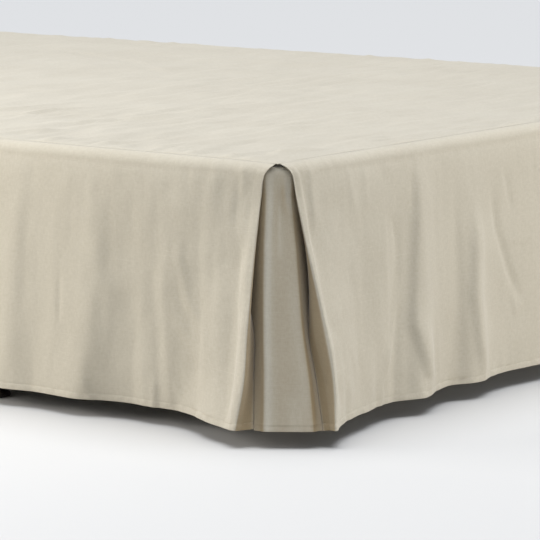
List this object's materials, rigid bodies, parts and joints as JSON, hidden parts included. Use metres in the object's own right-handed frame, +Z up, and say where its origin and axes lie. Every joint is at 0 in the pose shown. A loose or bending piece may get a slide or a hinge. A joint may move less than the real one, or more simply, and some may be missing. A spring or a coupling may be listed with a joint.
{
  "type": "bed skirt on a bed base",
  "caption": "Linen bed skirt with pleated foot corners and an open head end, laid over a box spring on a low steel frame and hanging to just above the floor.",
  "frame": {"origin": "on the floor, below the middle of the whole footprint, folds included", "axes": "+Z up, +Y along the bed towards its head, +X to the right of someone who stands at the foot end and faces the head"},
  "size_m": [1.6656, 2.1208, 0.4082],
  "materials": {
    "linen": "plain-woven natural linen, matt",
    "ticking": "off-white woven ticking, matt",
    "frame_steel": "dark brown powder coat, satin",
    "glide_plastic": "dark brown moulded plastic, satin"
  },
  "bodies": {
    "root": {"deck": "linen", "drop_left": "linen", "drop_foot": "linen", "drop_right": "linen", "corner_left": "linen", "corner_right": "linen", "box_spring": "ticking", "rail_left": "frame_steel", "rail_right": "frame_steel", "bar_foot": "frame_steel", "bar_head": "frame_steel", "leg_foot_left": "frame_steel", "glide_foot_left": "glide_plastic", "leg_foot_middle": "frame_steel", "glide_foot_middle": "glide_plastic", "leg_foot_right": "frame_steel", "glide_foot_right": "glide_plastic", "leg_head_left": "frame_steel", "glide_head_left": "glide_plastic", "leg_head_middle": "frame_steel", "glide_head_middle": "glide_plastic", "leg_head_right": "frame_steel", "glide_head_right": "glide_plastic"}
  },
  "joints": []
}
